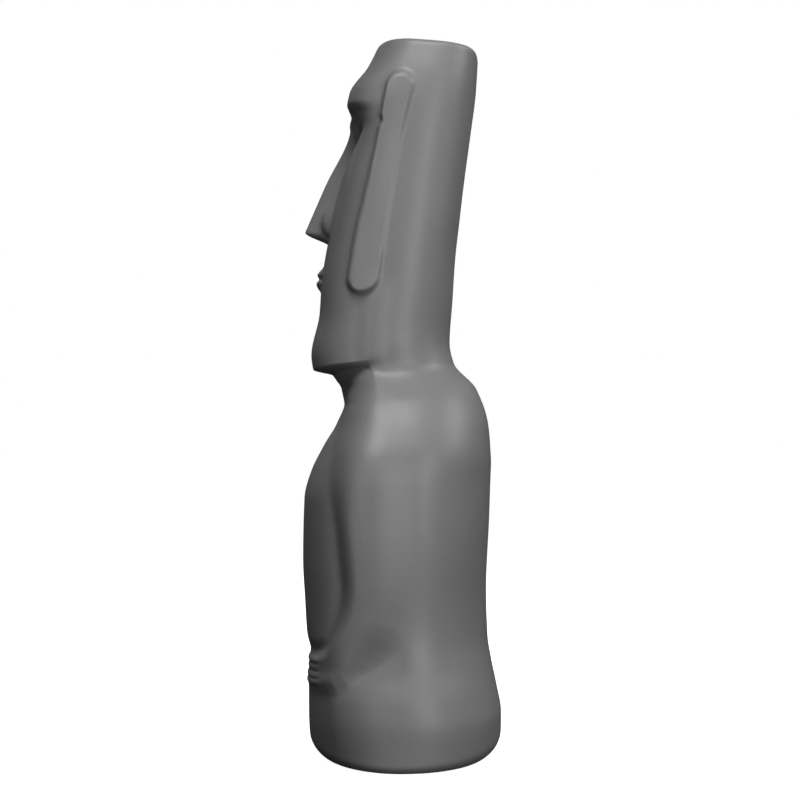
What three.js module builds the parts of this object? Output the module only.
// A moai: a standing stone figure, head and body in one block, with its hands folded under the belly.
// It faces -Y, +Z is up, and the origin is the middle of the flat underside. Lengths are millimetres.
//
// The block is a loft: an axis climbs through the body and leans back with the head, and every level
// has a section about it, a rounded rectangle. The carving is relief laid over that loft.

import * as THREE from "three";

const { clamp, degToRad, lerp, smoothstep } = THREE.MathUtils;

// Driving sizes of the block
const HEIGHT = 4050;
const CHIN_HEIGHT = 0.546 * HEIGHT; // the jaw's edge, where it crosses the axis
const BODY_DEPTH = 1055;
const BASE_WIDTH = 1600;
const BASE_ROUND = 110; // radius of the underside's rounded edge
const WAIST_WIDTH = 1430;
const SHOULDER_WIDTH = 1530; // of the block, under the arms
const NECK_WIDTH = 900;
const JAW_WIDTH = 940;
const HEAD_DEPTH = 720;
const HEAD_WIDTH = 1000;
const HEAD_LEAN = degToRad(7);
const HEAD_FORWARD = 130; // how far the chin stands the head's axis in front of the body's
const CROWN_WIDTH = 870;
const CROWN_FRONT = 236; // from the axis to the crown's front edge
const CROWN_ROUND = 30;
const CROWN_DOME = 12; // how far its middle rises
const CROWN_TILT = degToRad(4.6);

const CROWN_RIM = (CROWN_FRONT - CROWN_ROUND) * Math.sin(CROWN_TILT); // the front rim's rise
const CROWN_HEIGHT = HEIGHT - CROWN_DOME - CROWN_RIM ** 2 / (4 * CROWN_DOME);
const HEAD_LENGTH = CROWN_HEIGHT - CHIN_HEIGHT;

// Driving sizes of the carving
const ARM_WIDTH = 300;
const ARM_RELIEF = 68;
const ARM_CREASE = 8;
const FINGERS = 4;
const FINGER_WIDTH = 42;
const FINGER_RELIEF = 6;
const HIP_RELIEF = 14;
const WAIST_HOLLOW = 18;
const WAIST_HOLLOW_WIDTH = 420;
const EAR_LENGTH = 0.686 * HEAD_LENGTH;
const EAR_FOOT = 0.213 * HEAD_LENGTH; // the lobe's end, above the chin
const EAR_WIDTH = 208;
const EAR_RELIEF = 46;
const JAW_UNDERSIDE = 40; // how much height the jaw's underside takes in front
const JAW_FADE = 340; // and where it has run out, behind the rear corner
const JAW_RISE = 30; // of the jaw's edge, from the chin to the rear corner
const JAW_RIDGE = 14;
const NOSE_LENGTH = 0.38 * HEAD_LENGTH;
const NOSE_HEIGHT = 150; // how far the tip stands out from the cheeks
const NOSE_BRIDGE = 135;
const NOSE_TIP = 250;
const WING_RELIEF = 56;
const WING_WIDTH = 140;
const MOUTH_WIDTH = 440;
const MOUTH_HEIGHT = 170;
const LIP_RELIEF = 34;
const LIP_PARTING = 16;
const SOCKET_DEPTH = 36;
const SOCKET_WIDTH = 360;
const SOCKET_HEIGHT = 250;

// Levels are heights along the axis: the body's are shares of the way up to the chin, and the
// head's are shares of the way from there to the crown.
const body = (share) => share * CHIN_HEIGHT;
const head = (share) => lerp(CHIN_HEIGHT, CROWN_HEIGHT, share);

const HANDS = body(0.225);
const LIPS = head(0.27);
const NOSE_TOP = head(0.79);
const SOCKETS = head(0.725);

// A smooth curve through [place, value] knots that never swings past them: a monotone cubic.
function curveThrough(knots) {
  const slope = (i) => (knots[i + 1][1] - knots[i][1]) / (knots[i + 1][0] - knots[i][0]);
  const tangent = (i) => {
    const before = slope(Math.max(i - 1, 0));
    const after = slope(Math.min(i, knots.length - 2));
    return before * after > 0 ? (2 * before * after) / (before + after) : 0;
  };
  return (place) => {
    let i = 0;
    while (i < knots.length - 2 && place > knots[i + 1][0]) i += 1;
    const width = knots[i + 1][0] - knots[i][0];
    const t = clamp((place - knots[i][0]) / width, 0, 1);
    return (
      lerp(knots[i][1], knots[i + 1][1], t * t * (3 - 2 * t)) +
      width * t * (1 - t) * (tangent(i) * (1 - t) - tangent(i + 1) * t)
    );
  };
}

// A soft ridge of height 1, gone at half its width on either side
const ridge = (offset, width) => 1 - smoothstep(Math.abs(offset), 0, width / 2);

// The axis: upright in the body, forward at the chin, then leaning back with the head
const axisY = curveThrough([
  [body(0), 0],
  [body(0.74), 0],
  [head(0), -HEAD_FORWARD],
  [head(0.5), -HEAD_FORWARD + 0.42 * HEAD_LENGTH * Math.tan(HEAD_LEAN)],
  [head(1), -HEAD_FORWARD + HEAD_LENGTH * Math.tan(HEAD_LEAN)],
]);

// How far the sections tip back from level
const tilt = curveThrough([
  [body(0.74), 0],
  [head(0), -0.43 * HEAD_LEAN],
  [head(0.3), 0.3 * HEAD_LEAN],
  [head(0.7), 0.85 * HEAD_LEAN],
  [head(1), CROWN_TILT],
]);

// Body and head are two blocks. Reaches are measured from the axis, to the front first
const bodyFront = curveThrough([
  [body(0), 0.506 * BODY_DEPTH],
  [body(0.1), 0.517 * BODY_DEPTH],
  [body(0.165), 0.516 * BODY_DEPTH],
  [body(0.205), 0.505 * BODY_DEPTH],
  [body(0.24), 0.496 * BODY_DEPTH],
  [body(0.27), 0.504 * BODY_DEPTH],
  [body(0.32), 0.526 * BODY_DEPTH],
  [body(0.4), 0.536 * BODY_DEPTH],
  [body(0.5), 0.546 * BODY_DEPTH],
  [body(0.66), 0.538 * BODY_DEPTH],
  [body(0.74), 0.493 * BODY_DEPTH],
  [body(0.8), 0.415 * BODY_DEPTH],
  [body(0.86), 0.305 * BODY_DEPTH],
  [body(0.915), 0.233 * BODY_DEPTH],
  [body(0.95), 0.234 * BODY_DEPTH],
  [body(0.972), 0.255 * BODY_DEPTH],
  [body(1), 0.29 * BODY_DEPTH],
]);
const headFront = curveThrough([
  [head(-0.02), 0.535 * HEAD_DEPTH],
  [head(0.05), 0.562 * HEAD_DEPTH],
  [head(0.17), 0.515 * HEAD_DEPTH],
  [head(0.27), 0.525 * HEAD_DEPTH],
  [head(0.4), 0.51 * HEAD_DEPTH],
  [head(0.55), 0.47 * HEAD_DEPTH],
  [head(0.72), 0.385 * HEAD_DEPTH],
  [head(0.765), 0.43 * HEAD_DEPTH],
  [head(0.8), 0.505 * HEAD_DEPTH],
  [head(0.835), 0.5 * HEAD_DEPTH],
  [head(0.92), 0.392 * HEAD_DEPTH],
  [head(1), CROWN_FRONT],
]);

// To the back, where they run into each other
const back = curveThrough([
  [body(0), 0.526 * BODY_DEPTH],
  [body(0.1), 0.53 * BODY_DEPTH],
  [body(0.168), 0.506 * BODY_DEPTH],
  [body(0.24), 0.475 * BODY_DEPTH],
  [body(0.3), 0.456 * BODY_DEPTH],
  [body(0.42), 0.448 * BODY_DEPTH],
  [body(0.6), 0.464 * BODY_DEPTH],
  [body(0.77), 0.478 * BODY_DEPTH],
  [body(0.88), 0.51 * BODY_DEPTH],
  [body(0.93), 0.498 * BODY_DEPTH],
  [head(0), 0.395 * BODY_DEPTH],
  [head(0.07), 0.54 * HEAD_DEPTH],
  [head(0.18), 0.535 * HEAD_DEPTH],
  [head(0.4), 0.503 * HEAD_DEPTH],
  [head(0.55), 0.498 * HEAD_DEPTH],
  [head(0.85), 0.49 * HEAD_DEPTH],
  [head(1), 0.462 * HEAD_DEPTH],
]);

// To either side
const bodySide = curveThrough([
  [body(0), 0.49 * BASE_WIDTH],
  [body(0.1), 0.49 * BASE_WIDTH],
  [body(0.165), 0.482 * BASE_WIDTH],
  [body(0.25), 0.512 * WAIST_WIDTH],
  [body(0.35), 0.5 * WAIST_WIDTH],
  [body(0.6), 0.492 * SHOULDER_WIDTH],
  [body(0.7), 0.495 * SHOULDER_WIDTH],
  [body(0.77), 0.483 * SHOULDER_WIDTH],
  [body(0.84), 0.451 * SHOULDER_WIDTH],
  [body(0.9), 0.406 * SHOULDER_WIDTH],
  [body(0.95), 0.347 * SHOULDER_WIDTH],
  [body(0.98), 0.525 * NECK_WIDTH],
  [body(1.01), 0.49 * NECK_WIDTH],
  [body(1.06), 0.475 * NECK_WIDTH],
]);
const headSide = curveThrough([
  [head(-0.02), 0.487 * JAW_WIDTH],
  [head(0.08), 0.5 * JAW_WIDTH],
  [head(0.5), 0.49 * HEAD_WIDTH],
  [head(0.8), 0.49 * HEAD_WIDTH],
  [head(0.88), 0.478 * HEAD_WIDTH],
  [head(1), 0.5 * CROWN_WIDTH],
]);

// How square the sections are before and behind the axis: 2 is an ellipse
const bodySquare = curveThrough([
  [body(0), 1.85],
  [body(0.12), 2.1],
  [body(0.25), 2.3],
  [body(0.7), 2.4],
  [body(0.88), 2.3],
  [body(0.95), 1.6],
  [body(1), 1.5],
]);
const headSquare = curveThrough([
  [head(0), 2.4],
  [head(0.5), 2.6],
  [head(0.8), 2.9],
  [head(1), 2.2],
]);
const backSquare = curveThrough([
  [body(0), 2.1],
  [body(0.12), 2.3],
  [body(0.2), 2.25],
  [body(0.32), 2.1],
  [body(0.5), 2.2],
  [body(0.7), 2.2],
  [body(0.8), 2.35],
  [head(0), 2.4],
  [head(0.1), 2.3],
  [head(0.3), 2.5],
  [head(0.8), 2.7],
  [head(1), 3.3],
]);

// The jaw's edge climbs from the chin to the rear corner.
const jawClimb = (angle) => JAW_RISE * smoothstep(angle, degToRad(10), degToRad(90));

// How far a place belongs to the head: a short step at the jaw, and a long one behind its corner
function headShare(angle, level) {
  const behind = smoothstep(angle, degToRad(82), degToRad(102));
  const height = lerp(JAW_UNDERSIDE, JAW_FADE, behind);
  const edge = CHIN_HEIGHT + jawClimb(angle);
  return smoothstep(level, edge - lerp(0.9, 0.7, behind) * height, edge + lerp(0.1, 0.3, behind) * height);
}

// The section's radius at an angle from the front
function sectionRadius(angle, level) {
  const forward = Math.cos(angle);
  const inHead = headShare(angle, level);
  const reach = forward > 0 ? lerp(bodyFront(level), headFront(level), inHead) : back(level);
  const side = lerp(bodySide(level), headSide(level), inHead);
  const square = forward > 0 ? lerp(bodySquare(level), headSquare(level), inHead) : backSquare(level);
  const along = Math.pow(Math.abs(forward) / reach, square);
  const across = Math.pow(Math.abs(Math.sin(angle)) / side, square);
  return Math.pow(along + across, -1 / square);
}

// The arm's centreline, from the shoulder past the elbow to the fingertips, as angles from the
// front and levels. The block is unrolled at a fixed radius to measure distances from it.
const UNROLL = 0.5 * SHOULDER_WIDTH;
const armAngle = curveThrough([
  [0, degToRad(75)],
  [0.2, degToRad(76)],
  [0.4, degToRad(78)],
  [0.5, degToRad(76)],
  [0.6, degToRad(68)],
  [0.7, degToRad(58)],
  [0.8, degToRad(44)],
  [1, degToRad(6)],
]);
const armLevel = curveThrough([
  [0, body(0.87)],
  [0.4, body(0.46)],
  [0.5, body(0.385)],
  [0.6, body(0.3)],
  [0.7, body(0.247)],
  [0.8, body(0.232)],
  [1, HANDS],
]);
const armHalf = curveThrough([
  [0, 0.5 * ARM_WIDTH],
  [0.5, 0.46 * ARM_WIDTH],
  [0.65, 0.38 * ARM_WIDTH],
  [0.8, 0.31 * ARM_WIDTH],
  [1, 0.5 * FINGERS * FINGER_WIDTH],
]);
const armHeight = curveThrough([
  [0, 0.4 * ARM_RELIEF],
  [0.12, ARM_RELIEF],
  [0.4, ARM_RELIEF],
  [0.6, 0.8 * ARM_RELIEF],
  [0.8, 0.42 * ARM_RELIEF],
  [0.94, 0.22 * ARM_RELIEF],
  [0.985, 0],
]);
const ARM_STEPS = 32;
const ARM_LINE = Array.from({ length: ARM_STEPS + 1 }, (_, i) => {
  const share = i / ARM_STEPS;
  return new THREE.Vector2(UNROLL * armAngle(share), armLevel(share));
});

// The nearest place on the arm's centreline: its share of the way, and how far off it is towards
// the belly, or towards the flank where that is negative.
function nearestOnArm(angle, level) {
  const place = new THREE.Vector2(UNROLL * angle, level);
  let nearest = { distance: Infinity };
  for (let i = 0; i < ARM_STEPS; i += 1) {
    const run = ARM_LINE[i + 1].clone().sub(ARM_LINE[i]);
    const from = place.clone().sub(ARM_LINE[i]);
    const t = clamp(from.dot(run) / run.lengthSq(), 0, 1);
    const bellyward = from.cross(run) > 0;
    const distance = from.distanceTo(run.multiplyScalar(t));
    if (distance < nearest.distance) nearest = { distance, bellyward, share: (i + t) / ARM_STEPS };
  }
  const { distance, bellyward, share } = nearest;
  return { share, off: bellyward ? distance : -distance };
}

// The arm has a firm edge with a crease beside it over the belly, which softens towards the
// shoulder, and runs into the flank. Its hand is divided into straight fingers side by side.
function armRelief(angle, level) {
  const { share, off } = nearestOnArm(angle, level);
  const height = armHeight(share);
  const hand = smoothstep(share, 0.74, 0.8) * (1 - smoothstep(share, 0.93, 0.98));
  const finger = off / FINGER_WIDTH + FINGERS / 2;
  const within = finger > 0 && finger < FINGERS;
  const fingers = within ? FINGER_RELIEF * hand * Math.abs(Math.sin(Math.PI * finger)) : 0;
  const q = Math.abs(off) / armHalf(share);
  const forearm = smoothstep(share, 0.45, 0.7);
  const upper = smoothstep(share, 0.04, 0.28);
  if (off > 0) {
    const along = smoothstep(share, 0.12, 0.45) * (1 - smoothstep(share, 0.85, 0.97));
    const edge = lerp(0.3, 0.5, forearm) * upper;
    const crease = ARM_CREASE * ridge(q - 1.3, 1.1) * along;
    return height * (1 - smoothstep(q, edge, lerp(2, 1.35, upper))) - crease + fingers;
  }
  return height * (1 - smoothstep(q, 0.4 * forearm, lerp(2, 1.6, forearm))) + fingers;
}

// The hip stands out softly below the forearm, and the waist behind the elbow is hollow.
function hipRelief(angle, level) {
  const rear = 1 - smoothstep(angle, degToRad(85), degToRad(125));
  const around = smoothstep(angle, degToRad(52), degToRad(64)) * rear;
  const upright = smoothstep(level, 0, body(0.14)) * (1 - smoothstep(level, body(0.17), body(0.26)));
  const fromHollow = Math.hypot(UNROLL * (angle - degToRad(80)), level - body(0.275));
  return HIP_RELIEF * around * upright - WAIST_HOLLOW * ridge(fromHollow, WAIST_HOLLOW_WIDTH);
}

// The ear: a long strip with round ends, proud along its front edge and low along its back one.
// Depths are measured behind the axis.
const EAR_BOTTOM = CHIN_HEIGHT + EAR_FOOT;
const earMiddle = curveThrough([
  [0, -105],
  [0.25, -98],
  [0.5, -76],
  [0.8, -55],
  [1, -40],
]);
const earHalf = curveThrough([
  [0, 0.5 * EAR_WIDTH],
  [0.15, 0.5 * EAR_WIDTH],
  [0.5, 0.43 * EAR_WIDTH],
  [0.68, 0.4 * EAR_WIDTH],
  [0.85, 0.42 * EAR_WIDTH],
  [1, 0.44 * EAR_WIDTH],
]);
const earBackEdge = curveThrough([
  [0, 0.7],
  [0.12, 0.45],
  [0.3, 0.2],
  [0.65, 0.2],
  [0.8, 0.4],
  [1, 0.7],
]);
const EAR_FALL = 22; // how wide its front edge's slope is
function earRelief(depth, level) {
  const share = clamp((level - EAR_BOTTOM) / EAR_LENGTH, 0, 1);
  const half = earHalf(share);
  const middle = EAR_BOTTOM + EAR_LENGTH / 2;
  const past = Math.max(Math.abs(level - middle) - EAR_LENGTH / 2 + half, 0);
  const offset = depth - earMiddle(share);
  const inside = half - Math.hypot(offset, past);
  const backward = smoothstep(offset, -half, half);
  const height = EAR_RELIEF * lerp(1, earBackEdge(share), backward);
  return height * smoothstep(inside, 0, lerp(EAR_FALL, 1.7 * EAR_FALL, backward));
}

// The jaw's rear corner, a soft ridge from the jaw's edge up to the lobe
function jawRelief(angle, level) {
  const height = smoothstep(level, head(-0.02), head(0.04)) * (1 - smoothstep(level, head(0.2), head(0.3)));
  return JAW_RIDGE * height * ridge(angle - degToRad(87), degToRad(26));
}

// A long nose that widens and rises on the way down, with a steep underside and round wings
function noseRelief(off, level) {
  const down = (NOSE_TOP - level) / NOSE_LENGTH;
  const slope = clamp(down, 0, 1);
  const half = 0.5 * lerp(NOSE_BRIDGE, NOSE_TIP, Math.pow(slope, 1.5));
  const ends = smoothstep(down, -0.02, 0.14) * (1 - smoothstep(down, 1, 1.1));
  const proud = NOSE_HEIGHT * lerp(0.34, 1, Math.pow(slope, 1.7));
  const fromWing = Math.hypot((off - 0.41 * NOSE_TIP) / WING_WIDTH, (down - 0.9) / 0.36);
  const wing = WING_RELIEF * (1 - smoothstep(fromWing, 0.1, 0.5)) * (1 - smoothstep(down, 1, 1.08));
  return Math.hypot(proud * ends * (1 - smoothstep(off, 0.2 * half, half)), wing);
}

// A low oval mound, parted along its middle into two thin lips
function mouthRelief(off, level) {
  const aside = off / (MOUTH_WIDTH / 2);
  const mound = 1 - smoothstep(Math.hypot(aside, (level - LIPS) / (MOUTH_HEIGHT / 2)), 0.3, 1);
  const parting = ridge(level - LIPS, 50) * (1 - smoothstep(aside, 0.7, 0.95));
  return LIP_RELIEF * mound - LIP_PARTING * parting;
}

// The whole face, with oval hollows under the brow
function faceRelief(x, level) {
  const off = Math.abs(x);
  const fromSocket = Math.hypot((off - 0.2 * HEAD_WIDTH) / SOCKET_WIDTH, (level - SOCKETS) / SOCKET_HEIGHT);
  const socket = 1 - smoothstep(fromSocket, 0.1, 0.5);
  return noseRelief(off, level) + mouthRelief(off, level) - SOCKET_DEPTH * socket;
}

// The rounded edge of the underside is full in front and behind, and half as round at the sides.
function baseShare(row, angle) {
  const narrow = 1.11 + 0.01 * Math.cos(angle) - 0.66 * Math.sin(angle) ** 2;
  return lerp(narrow, 1, smoothstep(row.level, BASE_ROUND, body(0.17)));
}

// A point of the carved surface. A row gives how far it is drawn in at a rounded edge, and on a
// flat end its share of the full radius and its rise.
function surfacePoint(row, angle, level) {
  const turn = Math.abs(angle);
  const relief = armRelief(turn, level) + hipRelief(turn, level) + jawRelief(turn, level);
  const radius = (sectionRadius(turn, level) + relief - row.inset * baseShare(row, turn)) * row.share;
  let x = radius * Math.sin(turn);
  let depth = -radius * Math.cos(turn);
  if (depth < 0) depth -= faceRelief(x, level) * row.share;
  x += earRelief(depth, level);
  const tip = tilt(level);
  return new THREE.Vector3(
    Math.sign(angle) * x,
    axisY(level) + depth * Math.cos(tip) + row.rise * Math.sin(tip),
    level - depth * Math.sin(tip) + row.rise * Math.cos(tip),
  );
}

// Rows from the underside's middle to the crown's: each band gives its top and its steps. The
// hands get two steps a finger.
const HAND_REACH = (FINGERS / 2 + 0.5) * FINGER_WIDTH;
const BANDS = [
  [HANDS - HAND_REACH, 3],
  [HANDS + HAND_REACH, 2 * (FINGERS + 1)],
  [body(0.45), 5],
  [body(0.74), 6],
  [body(0.9), 4],
  [body(0.965), 3],
  [head(0.025), 6],
  [head(0.2), 4],
  [head(0.34), 8],
  [head(0.42), 4],
  [head(0.7), 6],
  [head(0.86), 6],
  [CROWN_HEIGHT - CROWN_ROUND, 4],
];
const BASE_STEPS = 4;
const CROWN_STEPS = 2;

function makeRows() {
  const row = (level, inset = 0, share = 1, rise = 0) => ({ level, inset, share, rise });
  const rows = [row(0, BASE_ROUND, 0)];
  for (let i = 0; i <= BASE_STEPS; i += 1) {
    const turn = (i / BASE_STEPS) * (Math.PI / 2);
    rows.push(row(BASE_ROUND * (1 - Math.cos(turn)), BASE_ROUND * (1 - Math.sin(turn))));
  }
  let from = BASE_ROUND;
  for (const [to, steps] of BANDS) {
    for (let i = 1; i <= steps; i += 1) rows.push(row(lerp(from, to, i / steps)));
    from = to;
  }
  for (let i = 1; i <= CROWN_STEPS; i += 1) {
    const turn = (i / CROWN_STEPS) * (Math.PI / 2);
    const level = CROWN_HEIGHT - CROWN_ROUND * (1 - Math.sin(turn));
    rows.push(row(level, CROWN_ROUND * (1 - Math.cos(turn))));
  }
  for (const share of [0.55, 0]) {
    rows.push(row(CROWN_HEIGHT, CROWN_ROUND, share, CROWN_DOME * (1 - share * share)));
  }
  return rows;
}

// Round the sides the rows of the hands climb with the forearms, and come down again behind them.
// Those of the jaw climb with its edge.
const FOREARM = ARM_LINE.slice(Math.round(0.69 * ARM_STEPS)).reverse();
const climb = curveThrough([
  ...FOREARM.map((place) => [place.x / UNROLL, place.y - HANDS]),
  [degToRad(90), body(0.12)],
  [degToRad(180), 0],
]);
function levelOf(row, angle) {
  const turn = Math.abs(angle);
  const between = (from, to) => smoothstep(row.level, from, to);
  const hands = between(BASE_ROUND, HANDS - HAND_REACH) * (1 - between(HANDS + HAND_REACH, body(0.74)));
  const jaw = between(body(0.9), body(0.965)) * (1 - between(head(0.03), head(0.2)));
  return row.level * baseShare(row, turn) + climb(turn) * hands + jawClimb(turn) * jaw;
}

// Columns on one side, from the front to the back. Some keep to the front edge of the arm and
// the ear, so that it is cut clean, and some to their back edge.
const frontEdge = curveThrough([
  [body(0.4), degToRad(64.3)],
  [body(0.5), degToRad(65.5)],
  [body(0.8), degToRad(62.6)],
  [head(0.28), degToRad(65.2)],
  [head(0.42), degToRad(67.3)],
  [head(0.56), degToRad(71)],
  [head(0.7), degToRad(73.3)],
  [head(0.9), degToRad(75.2)],
]);
const edgeTop = curveThrough([
  [body(0.4), degToRad(73.8)],
  [body(0.5), degToRad(74.6)],
  [body(0.8), degToRad(72)],
  [head(0.28), degToRad(68.2)],
  [head(0.42), degToRad(70.3)],
  [head(0.56), degToRad(73.8)],
  [head(0.7), degToRad(76.2)],
  [head(0.9), degToRad(78.2)],
]);
const backEdge = curveThrough([
  [body(0), degToRad(104)],
  [body(0.85), degToRad(106)],
  [head(0.22), degToRad(93)],
  [head(0.6), degToRad(94)],
  [head(1), degToRad(100)],
]);
const FANS = [
  [frontEdge, 14],
  [edgeTop, 3],
  [backEdge, 7],
  [() => Math.PI, 8],
];

function makeAngles(level) {
  const half = [0];
  for (const [edge, steps] of FANS) {
    const from = half[half.length - 1];
    for (let i = 1; i <= steps; i += 1) half.push(lerp(from, edge(level), i / steps));
  }
  const mirrored = half.slice(1, -1).reverse().map((angle) => -angle);
  return [...half, ...mirrored];
}

// Joins the rows into one closed surface. Each end is a single point, and each four-sided cell is
// cut along its shorter diagonal.
function carve() {
  const rows = makeRows();
  const inner = rows.slice(1, -1);
  const columns = makeAngles(0).length;
  const points = [surfacePoint(rows[0], 0, rows[0].level)];
  for (const row of inner) {
    for (const angle of makeAngles(row.level)) points.push(surfacePoint(row, angle, levelOf(row, angle)));
  }
  const top = points.length;
  points.push(surfacePoint(rows[rows.length - 1], 0, CROWN_HEIGHT));

  const index = [];
  const at = (row, column) => 1 + row * columns + (column % columns);
  const last = inner.length - 1;
  for (let j = 0; j < columns; j += 1) {
    index.push(0, at(0, j + 1), at(0, j));
    index.push(top, at(last, j), at(last, j + 1));
    for (let i = 0; i < last; i += 1) {
      const [a, b, c, d] = [at(i, j), at(i, j + 1), at(i + 1, j + 1), at(i + 1, j)];
      const shorter = points[a].distanceTo(points[c]) < points[b].distanceTo(points[d]);
      index.push(...(shorter ? [a, b, c, a, c, d] : [a, b, d, b, c, d]));
    }
  }
  const geometry = new THREE.BufferGeometry().setFromPoints(points);
  geometry.setIndex(index);
  geometry.computeBoundingBox();
  const middle = geometry.boundingBox.getCenter(new THREE.Vector3());
  geometry.translate(0, -middle.y, 0);
  geometry.computeVertexNormals();
  return geometry;
}

const stone = new THREE.MeshStandardMaterial({ color: 0x767676, roughness: 0.55, metalness: 0 });
const statue = new THREE.Mesh(carve(), stone);
statue.name = "moai_statue";

const group = new THREE.Group();
group.add(statue);

export default group;
